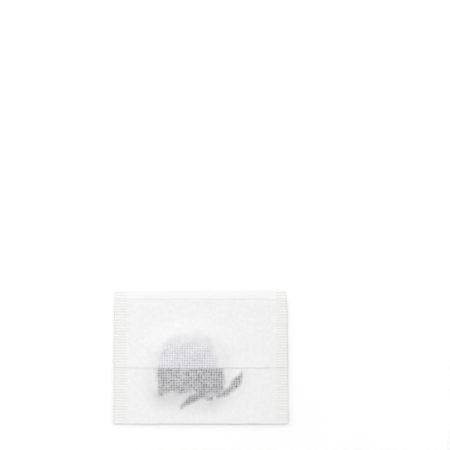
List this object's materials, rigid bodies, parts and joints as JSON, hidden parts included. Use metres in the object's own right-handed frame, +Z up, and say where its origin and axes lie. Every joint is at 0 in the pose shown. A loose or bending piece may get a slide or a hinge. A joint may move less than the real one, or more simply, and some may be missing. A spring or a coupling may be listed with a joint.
{
  "type": "tea filter bag",
  "caption": "Flat fillable tea filter bag of translucent non-woven web, with crimped side seals and a turn-over flap, lying on its back with loose leaf tea inside.",
  "frame": {"origin": "centre of the bag's outline, on the surface that its back panel lies on", "axes": "+X across the bag towards the right seal, +Y towards the mouth, +Z up out of the front panel"},
  "size_m": [0.095, 0.0724, 0.0095],
  "materials": {
    "filter_web": "translucent white non-woven web, dot embossed, matt",
    "green_leaf": "dry broken green tea leaf, matt",
    "dark_leaf": "dry rolled dark tea leaf, matt",
    "brown_leaf": "dry brown tea leaf, matt",
    "petal": "dried magenta petal, soft sheen",
    "stalk": "dry pale stalk, matt"
  },
  "bodies": {
    "root": {"crescent_leaf": "dark_leaf", "filter_bag": "filter_web", "leaf_flake_01": "green_leaf", "leaf_flake_02": "green_leaf", "leaf_flake_03": "green_leaf", "leaf_flake_04": "green_leaf", "leaf_flake_05": "green_leaf", "leaf_flake_06": "green_leaf", "leaf_flake_07": "green_leaf", "leaf_flake_08": "green_leaf", "leaf_flake_09": "green_leaf", "leaf_flake_10": "green_leaf", "leaf_flake_11": "green_leaf", "leaf_flake_12": "green_leaf", "leaf_flake_13": "green_leaf", "leaf_sliver_01": "brown_leaf", "leaf_sliver_02": "brown_leaf", "leaf_sliver_03": "brown_leaf", "leaf_sliver_04": "brown_leaf", "leaf_sliver_05": "brown_leaf", "leaf_sliver_06": "brown_leaf", "leaf_sliver_07": "brown_leaf", "leaf_sliver_08": "brown_leaf", "leaf_sliver_09": "brown_leaf", "leaf_sliver_10": "brown_leaf", "leaf_sliver_11": "brown_leaf", "leaf_sliver_12": "brown_leaf", "petal_01": "petal", "petal_02": "petal", "petal_03": "petal", "petal_04": "petal", "pointer_leaf": "brown_leaf", "rolled_leaf_01": "dark_leaf", "rolled_leaf_02": "dark_leaf", "rolled_leaf_03": "dark_leaf", "rolled_leaf_04": "dark_leaf", "rolled_leaf_05": "dark_leaf", "rolled_leaf_06": "dark_leaf", "rolled_leaf_07": "dark_leaf", "rolled_leaf_08": "dark_leaf", "rolled_leaf_09": "dark_leaf", "rolled_leaf_10": "dark_leaf", "rolled_leaf_11": "dark_leaf", "rolled_leaf_12": "dark_leaf", "rolled_leaf_13": "dark_leaf", "stalk_01": "stalk", "stalk_02": "stalk", "stalk_03": "stalk", "stalk_04": "stalk", "stalk_05": "stalk"}
  },
  "joints": []
}
